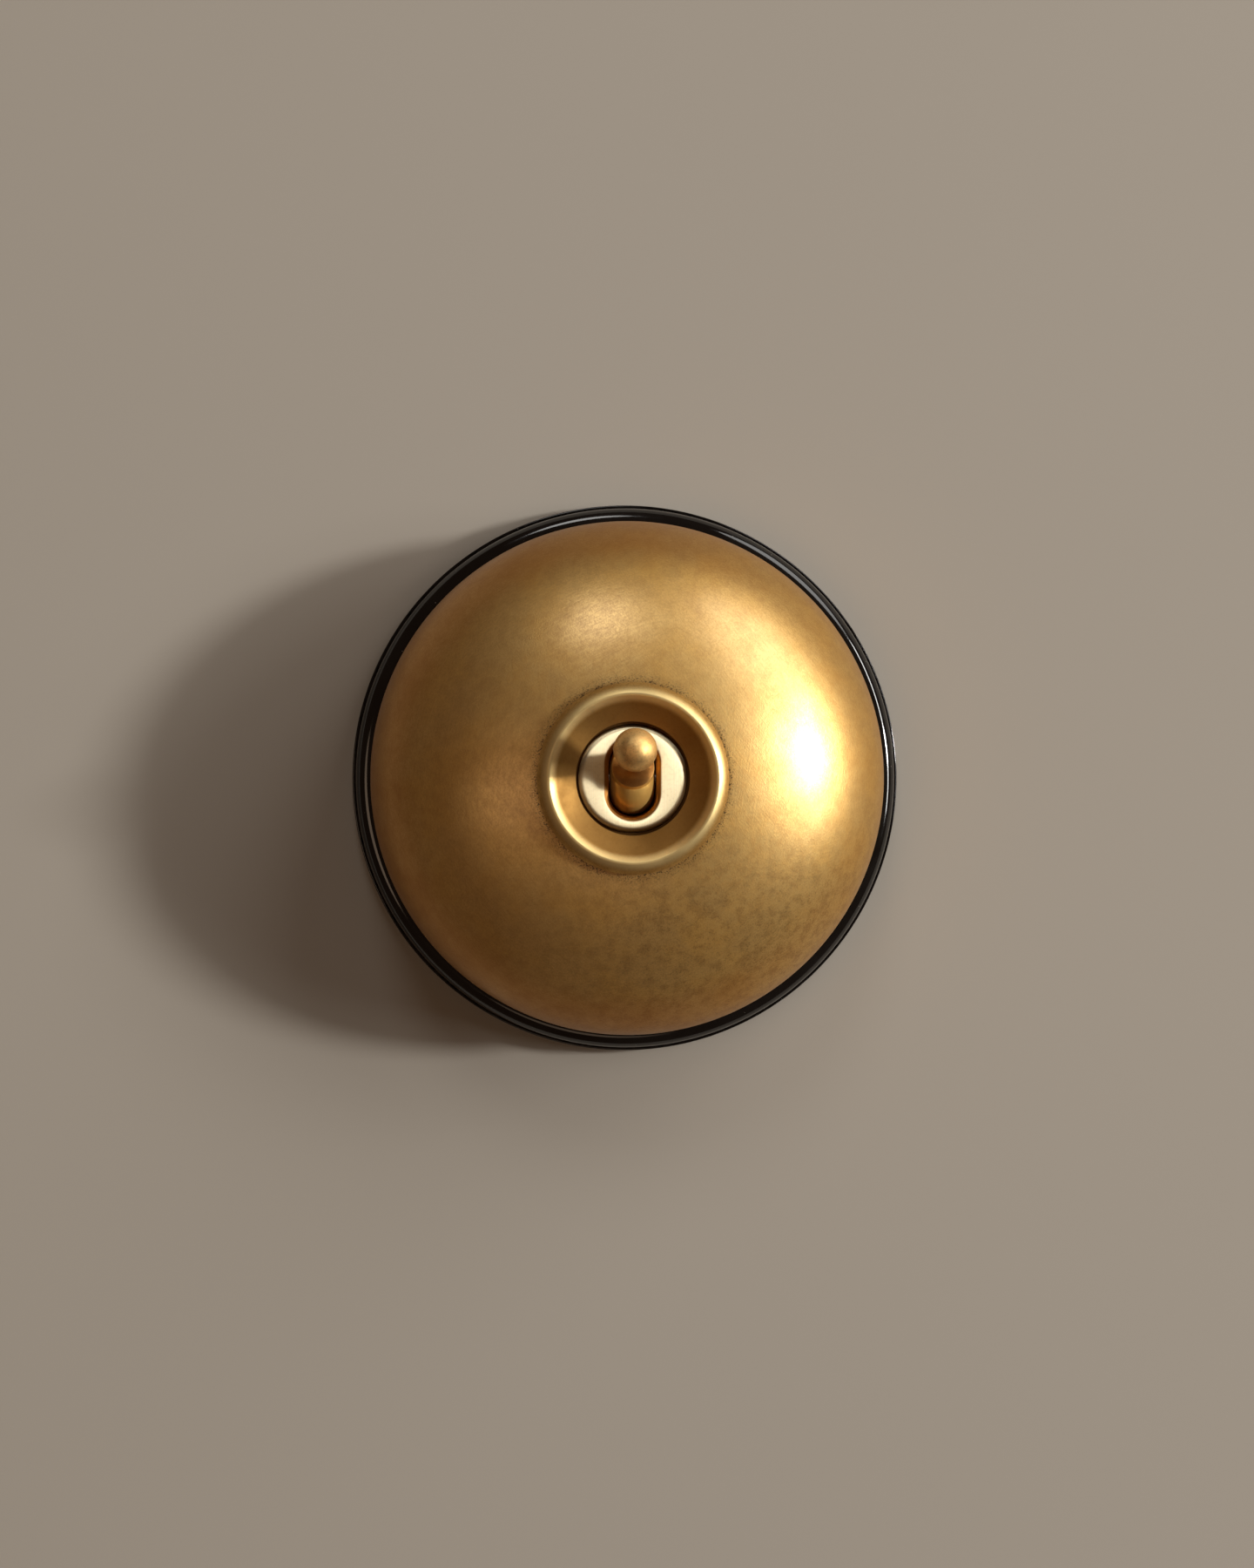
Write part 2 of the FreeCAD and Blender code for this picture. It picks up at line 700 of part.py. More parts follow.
def spring_shape():
    """Coil spring between the end of the dolly's bore and the plunger, about the dolly's own pin line.

    Its wire runs straight for a twelfth of a turn at a time, with mitred corners.
    """
    coil_radius = plunger_radius - spring_wire_radius - spring_side_clearance
    end_room = spring_wire_radius + press_clearance
    room = plunger_bore_depth - plunger_guide - 2 * end_room
    foot = plunger_guide - dolly_tail_length + end_room
    runs = round(spring_turns * spring_runs_per_turn)
    places = []
    for step in range(runs + 1):
        angle = 2 * math.pi * step / spring_runs_per_turn
        rise = room * step / runs
        places.append(Vector(coil_radius * math.cos(angle), -foot - rise, coil_radius * math.sin(angle)))
    ring = Part.makeCircle(spring_wire_radius, places[0], places[1] - places[0])
    section = Part.makePolygon(ring.discretize(spring_wire_sides + 1))
    return Part.makePolygon(places).makePipeShell([section], True, False, mitred)


def at_dolly(shape):
    """Shape about the dolly's pin line, tipped up as the dolly rests and set at its pivot."""
    return moved(tipped(shape, -dolly_throw), out=pivot_out)


def at_rocker(shape):
    """Shape about the rocker's pin line, tipped as the rocker rests and set at its pivot."""
    return moved(tipped(shape, rocker_throw), out=rocker_out)


def front_screws():
    """Screws that hold the bridge on the switch body."""
    screw = slotted_screw(screw_head_radius, screw_head_height, screw_radius,
                          bridge_thickness + insulator_thickness + screw_grip)
    return [moved(screw, x, bridge_top, up) for x, up in front_posts]


def back_screws():
    """Screws that hold the switch body on the base, with their heads in the hollow back."""
    screw = slotted_screw(screw_head_radius, screw_head_height, screw_radius, base_floor + screw_grip)
    return [moved(faced_back(screw), x, back_recess, up) for x, up in back_posts]


def clamp_screws():
    """Screws of the three wire clamps."""
    screw = slotted_screw(terminal_screw_head_radius, terminal_screw_head_height,
                          terminal_screw_radius, wire_hole_drop)
    places = [(0, terminal_middle), (0, -terminal_middle), (common_middle, 0)]
    return [moved(screw, x, terminal_top, up) for x, up in places]


def earth_terminal():
    """Brass earth clamp on a corner of the bridge, with its wire hole from side to side."""
    x, up = earth_place
    half = earth_size / 2
    clamp = block(x - half, x + half, bridge_top, earth_top, up - half, up + half)
    wire_out = bridge_top + wire_hole_end_wall + wire_hole_radius
    wire = moved(cross_rod(wire_hole_radius, half, wire_out, up), x=x)
    screw = rod(terminal_screw_radius + press_clearance, wire_out, earth_top, x, up)
    return clamp.cut([wire, screw])


def earth_screw():
    """Screw of the earth clamp."""
    x, up = earth_place
    screw = slotted_screw(terminal_screw_head_radius, terminal_screw_head_height,
                          terminal_screw_radius, wire_hole_radius)
    return moved(screw, x, earth_top, up)


def fixed_contacts():
    """Contact buttons on the upper and lower strips."""
    return [rod(contact_radius, strip_top, fixed_contact_top, up=side * contact_reach) for side in (1, -1)]


def rocker_contacts():
    """Contact buttons under both arms of the rocker."""
    button = rocker_button()
    return [at_rocker(button), at_rocker(half_turn(button))]


pieces = {
    "base": [base()],
    "cover": [cover()],
    "collar": [collar()],
    "neck": [neck()],
    "bridge": [bridge()],
    "bridge_screws": front_screws(),
    "insulator": [insulator()],
    "switch_body": [switch_body()],
    "body_screws": back_screws(),
    "common_terminal": [common_terminal()],
    "upper_terminal": [upper_terminal()],
    "lower_terminal": [half_turn(upper_terminal())],
    "terminal_screws": clamp_screws(),
    "fixed_contacts": fixed_contacts(),
    "earth_terminal": [earth_terminal()],
    "earth_screw": [earth_screw()],
    "dolly_pin": [cross_rod(dolly_pin_radius, neck_radius - dolly_pin_recess, pivot_out)],
    "dolly": [at_dolly(dolly_shape())],
    "plunger": [at_dolly(plunger_shape())],
    "plunger_spring": [at_dolly(spring_shape())],
    "rocker_pin": [cross_rod(rocker_pin_radius, bracket_outer + rocker_pin_overhang, rocker_out)],
    "rocker": [at_rocker(rocker_shape())],
    "rocker_contacts": rocker_contacts(),
}

os.makedirs("parts", exist_ok=True)
for name, solids in pieces.items():
    shape = solids[0] if len(solids) == 1 else Part.makeCompound(solids)
    shape.exportStep("parts/" + name + ".step")
    state = "valid" if shape.isValid() else "not valid"
    print(name, len(shape.Solids), "solids", round(shape.Volume, 2), "mm3", state)
print("dolly pivot", round(pivot_out, 4), "rocker pivot", round(rocker_out, 4), "out from the wall")
print("nose reach", round(nose_reach, 3), "trough radius", round(trough_radius, 3))
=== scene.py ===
# %% [markdown]
# A round wall switch: a gloss black base, a domed cover of aged brass, a dished collar and a small dolly.
# Its solids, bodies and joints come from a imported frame, in metres, with the wall at y = 0 and the room
# at -y. They could be modelled again by eye, but then the two models would drift apart, so the frame is
# loaded as it is.

# %% Load the frame
import json
import math

import bmesh
import bpy
from mathutils import Matrix, Vector


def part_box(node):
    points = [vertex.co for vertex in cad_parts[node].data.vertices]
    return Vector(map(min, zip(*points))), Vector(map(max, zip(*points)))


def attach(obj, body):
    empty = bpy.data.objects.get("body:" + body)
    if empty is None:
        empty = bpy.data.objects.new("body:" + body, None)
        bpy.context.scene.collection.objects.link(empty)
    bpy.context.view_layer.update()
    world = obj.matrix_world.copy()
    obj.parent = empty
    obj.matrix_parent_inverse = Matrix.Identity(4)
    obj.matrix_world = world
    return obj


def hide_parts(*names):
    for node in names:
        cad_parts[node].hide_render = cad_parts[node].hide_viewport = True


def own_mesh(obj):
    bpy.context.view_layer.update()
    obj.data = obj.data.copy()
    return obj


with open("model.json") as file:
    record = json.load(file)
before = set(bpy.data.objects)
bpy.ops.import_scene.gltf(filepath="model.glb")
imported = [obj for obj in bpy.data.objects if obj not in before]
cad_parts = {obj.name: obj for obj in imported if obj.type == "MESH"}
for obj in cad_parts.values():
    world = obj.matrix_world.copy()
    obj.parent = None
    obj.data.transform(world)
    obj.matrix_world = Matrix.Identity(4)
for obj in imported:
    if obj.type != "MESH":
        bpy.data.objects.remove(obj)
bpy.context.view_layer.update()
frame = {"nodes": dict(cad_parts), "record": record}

# %% [markdown]
# The finely turned pieces are made again here with more facets and softer edges than the solids have.
# Each takes its outer size from the solid that it stands for, so a change there is followed here.
# "out" is a distance from the wall, along the axis that every turned piece shares.

# %% Measure the solids
MM = 0.001


def reach(node):
    """Radius of a node, and how far from the wall it starts and ends."""
    low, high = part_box(node)
    return high.x, -high.y, -low.y


base_radius = reach("base")[0]
dome_radius, dome_foot, dome_seat = reach("cover")
collar_radius, collar_foot, collar_crest = reach("collar")
neck_flange_radius, neck_foot, neck_face = reach("neck")
print("radii in mm", [round(size / MM, 2) for size in (base_radius, dome_radius, collar_radius)])

# %% [markdown]
# The camera stands nearly square to the wall, a little to the left and a touch above.
# Guessing a lens leads to a long hunt, so the frame is worked out from measured pixels instead:
# the base's middle, the scale at its rim, and a distance that gives the right shift of the nearer rings.

# %% Place the camera
photo_width = 1440
photo_height = 1800
base_middle_px = (717.7, 893.0)
pixels_per_metre = 7263.0
scale_out = 2.0 * MM
camera_distance = 0.698
camera_side = math.radians(-2.2)
camera_rise = math.radians(0.25)
film_height = 36.0

stand = Vector((
    math.sin(camera_side) * math.cos(camera_rise),
    -math.cos(camera_side) * math.cos(camera_rise),
    math.sin(camera_rise),
))
picture_right = Vector((math.cos(camera_side), math.sin(camera_side), 0))
picture_up = stand.cross(picture_right)
aim = Vector((0, -scale_out, 0))
aim += picture_right * (photo_width / 2 - base_middle_px[0]) / pixels_per_metre
aim += picture_up * (base_middle_px[1] - photo_height / 2) / pixels_per_metre

camera_data = bpy.data.cameras.new("camera")
# On an upright picture Blender takes this width as the film's height.
camera_data.sensor_width = film_height
camera_data.lens = film_height * camera_distance * pixels_per_metre / photo_height
camera = bpy.data.objects.new("camera", camera_data)
camera.location = aim + stand * camera_distance
camera.rotation_euler = stand.to_track_quat("Z", "Y").to_euler()
bpy.context.scene.collection.objects.link(camera)
bpy.context.scene.camera = camera
bpy.context.scene.view_settings.view_transform = "Standard"
print("lens", round(camera_data.lens, 1), "mm")

# %% [markdown]
# Nodes are many and small, so a few helpers keep the finishes readable: one adds a node and sets or links
# its inputs in one go, and the others name the sums that come up again and again.

# %% Helpers for shader nodes
def add_node(tree, kind, inputs=None, **settings):
    """New node with its settings, and with values or links on its inputs."""
    made = tree.nodes.new(kind)
    for name, value in settings.items():
        setattr(made, name, value)
    for name, value in (inputs or {}).items():
        if isinstance(value, bpy.types.NodeSocket):
            tree.links.new(value, made.inputs[name])
        else:
            made.inputs[name].default_value = value
    return made


def sum_of(tree, operation, first, second=0.0):
    """One step of arithmetic on two numbers."""
    return add_node(tree, "ShaderNodeMath", {0: first, 1: second}, operation=operation).outputs[0]


def fade(tree, value, start, end, low=0.0, high=1.0):
    """Soft step from low to high as a value goes from start to end."""
    inputs = {"Value": value, "From Min": start, "From Max": end, "To Min": low, "To Max": high}
    return add_node(tree, "ShaderNodeMapRange", inputs, interpolation_type="SMOOTHSTEP").outputs["Result"]


def blend(tree, share, first, second):
    """Colour between two colours."""
    mixer = add_node(tree, "ShaderNodeMix", {0: share, 6: first, 7: second}, data_type="RGBA")
    return mixer.outputs[2]


def paint(red, green, blue):
    """Colour from the sRGB numbers that a screen shows, 0 to 255, as the light that a shader needs."""
    light = []
    for level in (red, green, blue):
        share = level / 255
        light.append(share / 12.92 if share <= 0.04045 else ((share + 0.055) / 1.055) ** 2.4)
    return (*light, 1.0)


print("mid grey as light", [round(level, 3) for level in paint(128, 128, 128)[:3]])

# %% [markdown]
# The switch hangs on a wall, so the wall is its floor and takes its shadow. A box behind it would hide the
# back in other views, so the wall is a sheet with a hole under the base, and it is clear from behind.

# %% Make the wall
wall_gap = 0.2 * MM
wall_hole_inset = 1.0 * MM
wall_hole_radius = base_radius - wall_hole_inset
wall_radius = 3.0
wall_sides = 128
wall_colour = paint(174, 167, 156)


def to_room(shape, tip=0.0, out=0.0):
    """Turn a shape made upright on z so that its top faces the room, tip that end up, and move it out."""
    turn = Matrix.Rotation(math.radians(90.0 - tip), 3, "X")
    bmesh.ops.rotate(shape, cent=(0, 0, 0), matrix=turn, verts=shape.verts)
    bmesh.ops.translate(shape, vec=(0, -out, 0), verts=shape.verts)


def finished(shape, name, smooth_angle=40.0):
    """Object from a shape, smooth but for edges sharper than an angle."""
    mesh = bpy.data.meshes.new(name)
    shape.to_mesh(mesh)
    shape.free()
    mesh.shade_smooth()
    mesh.set_sharp_from_angle(angle=math.radians(smooth_angle))
    piece = bpy.data.objects.new(name, mesh)
    bpy.context.scene.collection.objects.link(piece)
    print(name, len(mesh.polygons), "faces")
    return piece


sheet = bmesh.new()
bmesh.ops.create_circle(sheet, cap_ends=False, radius=wall_hole_radius, segments=wall_sides)
spread = bmesh.ops.extrude_edge_only(sheet, edges=sheet.edges[:])["geom"]
outer_edge = [item for item in spread if isinstance(item, bmesh.types.BMVert)]
grow = wall_radius / wall_hole_radius
bmesh.ops.scale(sheet, vec=(grow, grow, 1), verts=outer_edge)
to_room(sheet, out=-wall_gap)
sheet.faces.ensure_lookup_table()
sheet.normal_update()
if sheet.faces[0].normal.y > 0:
    bmesh.ops.reverse_faces(sheet, faces=sheet.faces)
wall = finished(sheet, "wall")

wall_paint = bpy.data.materials.new("wall_paint")
wall_paint.use_nodes = True
wall_tree = wall_paint.node_tree
wall_tree.nodes.clear()
wall_matt = add_node(wall_tree, "ShaderNodeBsdfDiffuse", {"Color": wall_colour})
wall_clear = add_node(wall_tree, "ShaderNodeBsdfTransparent")
wall_side = add_node(wall_tree, "ShaderNodeNewGeometry")
wall_mix = add_node(wall_tree, "ShaderNodeMixShader", {
    0: wall_side.outputs["Backfacing"],
    1: wall_matt.outputs["BSDF"],
    2: wall_clear.outputs["BSDF"],
})
add_node(wall_tree, "ShaderNodeOutputMaterial", {"Surface": wall_mix.outputs["Shader"]})
wall.data.materials.append(wall_paint)

# %% [markdown]
# The light is like a tall window on the right: a bright core that makes the long shadow, and a tall pane that
# draws the upright patch on the dome and the bright line on the base. A broad lamp above it, one overhead and
# two weak ones at the left and below round the dome off, and a dim warm world fills the shade. Two lamps
# behind the wall are for the back alone. One round lamp would do for the shadow, but not for the brass.

# %% Light the switch
daylight = (1.0, 0.98, 0.95)
warm_light = (1.0, 0.72, 0.50)
room_colour = paint(255, 198, 158)
room_glow = 0.066


def add_lamp(name, direction, distance, width, power, height=None, colour=daylight):
    """Soft lamp that points at the switch: round, or a pane when it has a height."""
    data = bpy.data.lights.new(name, "AREA")
    data.shape = "RECTANGLE" if height else "DISK"
    data.size = width
    data.size_y = height or width
    data.energy = power
    data.color = colour
    lamp = bpy.data.objects.new(name, data)
    toward = Vector(direction).normalized()
    lamp.location = toward * distance
    lamp.rotation_euler = toward.to_track_quat("Z", "Y").to_euler()
    lamp.visible_camera = False
    bpy.context.scene.collection.objects.link(lamp)


add_lamp("core", (1.8, -1.0, 0.2), distance=2.6, width=0.29, power=41.0)
add_lamp("pane", (1.8, -1.0, 0.36), distance=2.6, width=0.36, power=26.0, height=1.55)
add_lamp("broad_right", (0.58, -0.44, 0.68), distance=2.6, width=1.46, power=17.0)
add_lamp("overhead", (-0.1, -0.66, 0.75), distance=1.5, width=0.45, power=2.4)
add_lamp("fill_left", (-0.5, -0.86, -0.1), distance=1.6, width=0.6, power=1.15, colour=warm_light)
add_lamp("fill_low", (-0.05, -0.9, -0.42), distance=1.6, width=0.45, power=0.36, colour=warm_light)
add_lamp("back_right", (0.8, 1.0, 0.5), distance=1.0, width=0.6, power=14.0)
add_lamp("back_left", (-0.9, 1.0, 0.1), distance=1.0, width=0.6, power=8.0)

world = bpy.data.worlds.new("room")
world.use_nodes = True
room = world.node_tree.nodes["Background"]
room.inputs["Color"].default_value = room_colour
room.inputs["Strength"].default_value = room_glow
bpy.context.scene.world = world
print("lamps", len(bpy.data.lights))

# %% [markdown]
# Nearly every piece that shows was made on a lathe, so it is made like that here too. A curve could be typed
# as a list of points, but a lathe hand thinks in straight cuts and radii, so the outline is drawn with two
# strokes, a line and an arc, each made by a bmesh operator, and one spin then turns it into the piece.

# %% Helpers for turned pieces
merge_distance = 0.0001 * MM


def start_outline(shape, radius, out):
    """First point of an outline, in the half plane beside the axis."""
    return shape.verts.new((radius, 0, out))


def line_to(shape, point, radius, out):
    """Straight cut from the outline's end to a new point."""
    point = bmesh.ops.extrude_vert_indiv(shape, verts=[point])["verts"][0]
    point.co = (radius, 0, out)
    return point


def arc_to(shape, point, centre, angle, steps):
    """Round cut about a centre. A positive angle goes from the radius towards the front."""
    cut = bmesh.ops.spin(
        shape,
        geom=[point],
        cent=(centre[0], 0, centre[1]),
        axis=(0, -1, 0),
        angle=math.radians(angle),
        steps=steps,
    )
    return next(item for item in cut["geom_last"] if isinstance(item, bmesh.types.BMVert))


def turn_outline(shape, steps):
    """Spin an outline into a closed piece about the axis, with its seam and its poles merged."""
    bmesh.ops.spin(
        shape,
        geom=shape.verts[:] + shape.edges[:],
        cent=(0, 0, 0),
        axis=(0, 0, 1),
        angle=math.radians(360.0),
        steps=steps,
        use_merge=True,
    )
    bmesh.ops.remove_doubles(shape, verts=shape.verts, dist=merge_distance)
    bmesh.ops.recalc_face_normals(shape, faces=shape.faces)


print("lathe ready")

# %% [markdown]
# Gloss black shows every facet of a solid's edge as a broken line of light. The back of the base is full of
# detail that the solid already has, so only its outer edge is turned again, as a thin smooth ring that lies
# a hair outside the solid.

# %% Turn the edge of the base
edge_skin = 0.03 * MM
edge_depth = 0.8 * MM
foot_round = 0.2 * MM
foot_height = 2.6 * MM
foot_step = 0.6 * MM
shoulder_round = 2.1 * MM
base_height = 6.5 * MM
edge_steps = 256
foot_arc_steps = 8
shoulder_arc_steps = 20
crisp_angle = 30.0

foot_radius = base_radius + edge_skin
tier_radius = foot_radius - foot_step
shoulder_out = base_height + edge_skin
shoulder_centre = (tier_radius - shoulder_round, shoulder_out - shoulder_round)
ledge_radius = dome_radius - edge_depth
edge = bmesh.new()
first = start_outline(edge, foot_radius - edge_depth, edge_depth)
point = line_to(edge, first, foot_radius, edge_depth)
point = line_to(edge, point, foot_radius, foot_height - foot_round)
point = arc_to(edge, point, (foot_radius - foot_round, foot_height - foot_round), 90.0, foot_arc_steps)
point = line_to(edge, point, tier_radius, foot_height)
point = line_to(edge, point, tier_radius, shoulder_out - shoulder_round)
point = arc_to(edge, point, shoulder_centre, 90.0, shoulder_arc_steps)
point = line_to(edge, point, ledge_radius, shoulder_out)
point = line_to(edge, point, ledge_radius, shoulder_out - edge_depth)
edge.edges.new((point, first))
turn_outline(edge, edge_steps)
to_room(edge)
base_edge = finished(edge, "base_edge", crisp_angle)
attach(base_edge, "housing")

# %% [markdown]
# The cover was spun from sheet brass over a former: a short straight skirt, an oval crown, and a flat land
# under the collar. A squashed sphere would miss the skirt and the wall's thickness. Here each oval is a round
# arc that is flattened afterwards, outside and inside, so the sheet is a true 1 mm thick at the rim.

# %% Turn the dome
dome_skirt = 5.7 * MM
dome_wall = 1.0 * MM
dome_rim_round = 0.3 * MM
dome_hole_radius = 10.75 * MM
dome_steps = 288
dome_arc_steps = 72
inner_arc_steps = 24
rim_arc_steps = 6

skirt_top = dome_foot + dome_skirt
dome_lift = math.acos(collar_radius / dome_radius)
dome_rise = (dome_seat - skirt_top) / math.sin(dome_lift)
inner_radius = dome_radius - dome_wall
inner_rise = dome_rise - dome_wall
inner_lift = math.asin((dome_seat - dome_wall - skirt_top) / inner_rise)


def oval_to(shape, point, angle, flatten, steps):
    """Round cut about the skirt's top on the axis, flattened into an oval together with its first point."""
    older = set(shape.verts) - {point}
    end = arc_to(shape, point, (0, skirt_top), angle, steps)
    fresh = [vert for vert in shape.verts if vert not in older]
    level = Matrix.Translation((0, 0, -skirt_top))
    bmesh.ops.scale(shape, vec=(1, 1, flatten), space=level, verts=fresh)
    return end


shell = bmesh.new()
first = start_outline(shell, inner_radius, dome_foot)
point = line_to(shell, first, dome_radius - dome_rim_round, dome_foot)
rim_centre = (dome_radius - dome_rim_round, dome_foot + dome_rim_round)
point = arc_to(shell, point, rim_centre, 90.0, rim_arc_steps)
point = line_to(shell, point, dome_radius, skirt_top)
point = oval_to(shell, point, math.degrees(dome_lift), dome_rise / dome_radius, dome_arc_steps)
point = line_to(shell, point, dome_hole_radius, dome_seat)
point = line_to(shell, point, dome_hole_radius, dome_seat - dome_wall)
inner_start = skirt_top + inner_radius * math.sin(inner_lift)
point = line_to(shell, point, inner_radius * math.cos(inner_lift), inner_start)
point = oval_to(shell, point, -math.degrees(inner_lift), inner_rise / inner_radius, inner_arc_steps)
shell.edges.new((point, first))
turn_outline(shell, dome_steps)
to_room(shell)
dome = finished(shell, "dome")
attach(dome, "housing")
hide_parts("cover")

# %% [markdown]
# The collar is a ring nut that clamps the dome: a sloped bead outside, a tight crest, a shallow dish inside
# it and a skirt that screws on the neck. A torus with a hole would look soft, because the light draws the
# crest as one thin line, so every radius is cut in turn. A "lean" is how far a surface tips outwards from
# the front.

# %% Turn the collar
bead_width = 1.7 * MM
bead_flat = 28.0
bead_steep = 55.0
crest_round = 0.5 * MM
dish_steep = 35.0
dish_flat = 22.0
mouth_radius = 8.6 * MM
mouth_lip = 0.12 * MM
mouth_depth = 0.9 * MM
mouth_floor = neck_face - mouth_depth
collar_bore_radius = 8.27 * MM
collar_skirt_radius = 10.45 * MM
collar_steps = 192
bead_arc_steps = 12
crest_arc_steps = 16
dish_arc_steps = 16


def at_lean(centre, radius, lean):
    """Point of a round cut about a centre, where its surface has a lean in degrees."""
    turn = math.radians(lean)
    return centre[0] + radius * math.sin(turn), centre[1] + radius * math.cos(turn)


def arc_radius(width, steep, flat):
    """Radius of a round cut of some width between two leans."""
    return width / (math.sin(math.radians(steep)) - math.sin(math.radians(flat)))


crest_radius = collar_radius - bead_width
crest_centre = (crest_radius, collar_crest - crest_round)
bead_top = at_lean(crest_centre, crest_round, bead_flat)
bead_radius = arc_radius(collar_radius - bead_top[0], bead_steep, bead_flat)
bead_centre = at_lean(bead_top, -bead_radius, bead_flat)
bead_foot = at_lean(bead_centre, bead_radius, bead_steep)
dish_top = at_lean(crest_centre, crest_round, -dish_steep)
dish_radius = arc_radius(dish_top[0] - mouth_radius, dish_steep, dish_flat)
dish_centre = at_lean(dish_top, dish_radius, -dish_steep)

ring = bmesh.new()
first = start_outline(ring, collar_skirt_radius, dome_seat)
point = line_to(ring, first, collar_radius, dome_seat)
point = line_to(ring, point, *bead_foot)
point = arc_to(ring, point, bead_centre, bead_steep - bead_flat, bead_arc_steps)
point = arc_to(ring, point, crest_centre, bead_flat + dish_steep, crest_arc_steps)
point = arc_to(ring, point, dish_centre, dish_flat - dish_steep, dish_arc_steps)
point = line_to(ring, point, mouth_radius, point.co.z - mouth_lip)
point = line_to(ring, point, mouth_radius, mouth_floor)
point = line_to(ring, point, collar_bore_radius, mouth_floor)
point = line_to(ring, point, collar_bore_radius, collar_foot)
point = line_to(ring, point, collar_skirt_radius, collar_foot)
ring.edges.new((point, first))
turn_outline(ring, collar_steps)
to_room(ring)
collar = finished(ring, "collar_ring", crisp_angle)
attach(collar, "housing")
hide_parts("collar")

# %% [markdown]
# The neck carries the dolly: a barrel with a slot through it, its face edge and slot lip well rounded. Its
# thread and the hole for the dolly's pin are out of sight and left out. A boolean cut would leave long thin
# faces at the lip, so the neck is built from two chains of closed loops. The slot shaped loops inside are
# bridged one by one. The round ones outside are extruded from one another, because a bridge between two
# rings in one plane can twist. The two flat ends are filled last.

# %% Bridge the neck
neck_radius = 8.2 * MM
neck_edge_round = 0.9 * MM
neck_spigot_radius = 8.6 * MM
neck_spigot_height = 1.5 * MM
neck_flange_thickness = 1.5 * MM
neck_flange_foot = neck_foot + neck_spigot_height
neck_flange_top = neck_flange_foot + neck_flange_thickness
slot_half_width = 3.6 * MM
slot_half_length = 5.75 * MM
slot_lip_round = 0.95 * MM
round_steps = 8
neck_sides = 128


def ring_loop(shape, radius, out, stretch=0.0):
    """Closed loop of edges: a circle, or a slot whose two halves are moved apart."""
    half_side = Matrix.Rotation(math.pi / neck_sides, 4, "Z")
    place = Matrix.Translation((0, 0, out)) @ half_side
    made = bmesh.ops.create_circle(shape, cap_ends=False, radius=radius, segments=neck_sides, matrix=place)
    for side in (-1, 1):
        half = [vert for vert in made["verts"] if vert.co.y * side > 0]
        bmesh.ops.translate(shape, vec=(0, side * stretch, 0), verts=half)
    return list({edge for vert in made["verts"] for edge in vert.link_edges})


def grow_ring(shape, loop, radius, out):
    """Round loop extruded from another one, to a new radius and place."""
    made = bmesh.ops.extrude_edge_only(shape, edges=loop)["geom"]
    verts = [item for item in made if isinstance(item, bmesh.types.BMVert)]
    grow = radius / verts[0].co.xy.length
    bmesh.ops.scale(shape, vec=(grow, grow, 1), verts=verts)
    bmesh.ops.translate(shape, vec=(0, 0, out - verts[0].co.z), verts=verts)
    return [item for item in made if isinstance(item, bmesh.types.BMEdge)]


barrel = bmesh.new()
stretch = slot_half_length - slot_half_width
slot_loops = [ring_loop(barrel, slot_half_width, neck_foot, stretch)]
outline = []
for step in range(round_steps + 1):
    turn = math.radians(90.0 * step / round_steps)
    lip_radius = slot_half_width + slot_lip_round * (1 - math.cos(turn))
    lip_out = neck_face - slot_lip_round * (1 - math.sin(turn))
    slot_loops.append(ring_loop(barrel, lip_radius, lip_out, stretch))
    edge_radius = neck_radius - neck_edge_round * (1 - math.sin(turn))
    edge_out = neck_face - neck_edge_round * (1 - math.cos(turn))
    outline.append((edge_radius, edge_out))
outline += [
    (neck_radius, neck_flange_top),
    (neck_flange_radius, neck_flange_top),
    (neck_flange_radius, neck_flange_foot),
    (neck_spigot_radius, neck_flange_foot),
    (neck_spigot_radius, neck_foot),
]
for near, far in zip(slot_loops, slot_loops[1:]):
    bmesh.ops.bridge_loops(barrel, edges=near + far)
face_loop = ring_loop(barrel, *outline[0])
foot_loop = face_loop
for radius, out in outline[1:]:
    foot_loop = grow_ring(barrel, foot_loop, radius, out)
for near, far in ((slot_loops[-1], face_loop), (slot_loops[0], foot_loop)):
    bmesh.ops.triangle_fill(barrel, use_beauty=True, edges=near + far)
bmesh.ops.recalc_face_normals(barrel, faces=barrel.faces)
to_room(barrel)
neck = finished(barrel, "neck_barrel", crisp_angle)
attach(neck, "housing")
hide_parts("neck")

# %% [markdown]
# Several finishes share the same signs of age and tooling, so each sign is a node group that is built once:
# the distance from the axis, clouds and specks of tarnish, strokes of hand rubbing, lathe lines and dust.
# Painted pictures would do as well on one piece, but groups fit any piece and any size.

# %% Group helpers
def start_group(name, inputs, outputs):
    """New node group with named number or vector inputs and number outputs, and its two end nodes."""
    group = bpy.data.node_groups.new(name, "ShaderNodeTree")
    for label, kind, value in inputs:
        socket = group.interface.new_socket(label, in_out="INPUT", socket_type=kind)
        if value is not None:
            socket.default_value = value
    for label in outputs:
        group.interface.new_socket(label, in_out="OUTPUT", socket_type="NodeSocketFloat")
    return group, group.nodes.new("NodeGroupInput"), group.nodes.new("NodeGroupOutput")


def use_group(tree, group, inputs):
    """A group placed in a material, with its own values."""
    return add_node(tree, "ShaderNodeGroup", inputs, node_tree=group).outputs


print("group helpers ready")

